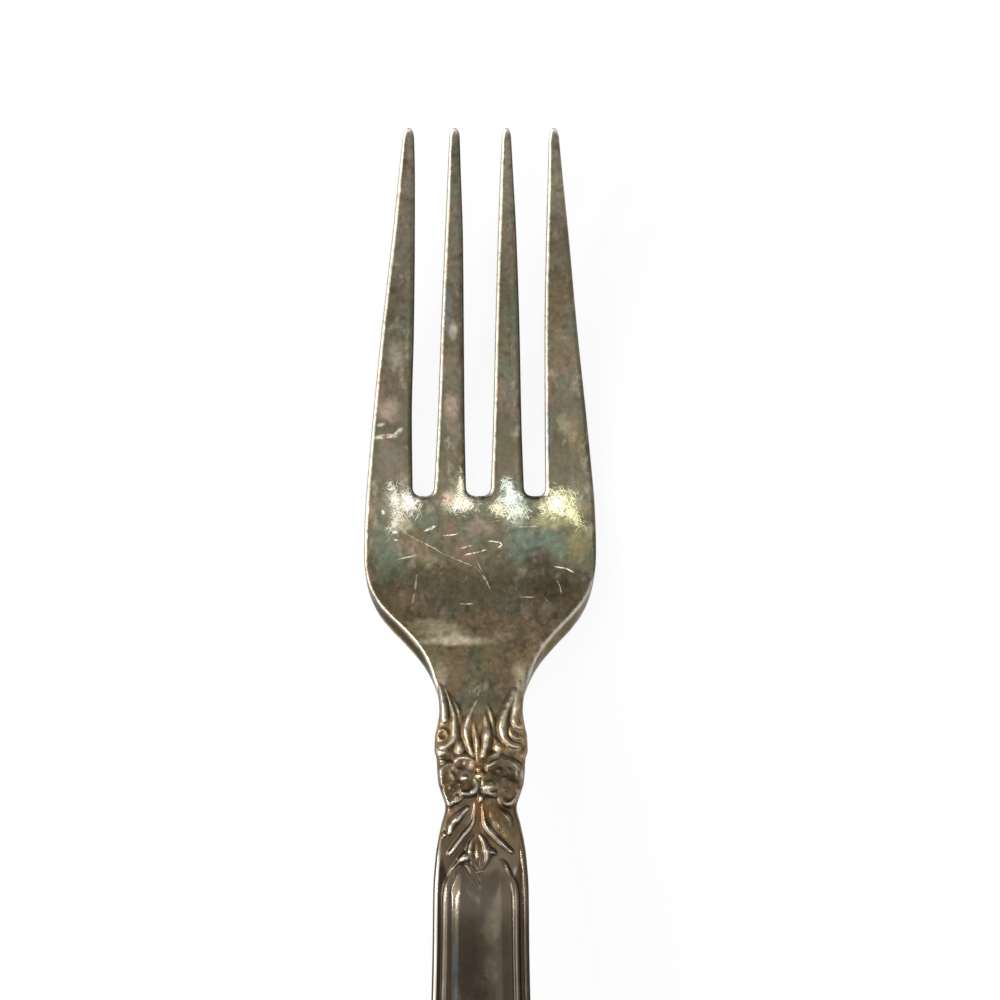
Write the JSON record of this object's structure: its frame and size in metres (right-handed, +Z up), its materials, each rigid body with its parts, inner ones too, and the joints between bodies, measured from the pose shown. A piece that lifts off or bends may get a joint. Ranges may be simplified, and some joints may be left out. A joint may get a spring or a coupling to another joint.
{
  "type": "table fork",
  "caption": "Silver-plated table fork with tapering tines, a dished head, a waisted neck struck with flowers and scrolls, and a bordered handle that widens to a round end.",
  "frame": {"origin": "on the table under the middle of the fork's length and width, as it lies on its back", "axes": "+X across the fork to the right, +Y along it to the tine tips, +Z up from the table"},
  "size_m": [0.0256, 0.19, 0.0152],
  "materials": {
    "head_silver": "tarnished silver plate on nickel silver, rubbed bright in places",
    "neck_silver": "tarnished silver plate on nickel silver, dark in the recesses of the relief",
    "handle_silver": "tarnished silver plate on nickel silver, glossy"
  },
  "bodies": {
    "root": {"left_outer_tine": "head_silver", "left_inner_tine": "head_silver", "right_inner_tine": "head_silver", "right_outer_tine": "head_silver", "head": "head_silver", "neck": "neck_silver", "handle": "handle_silver"}
  },
  "joints": []
}
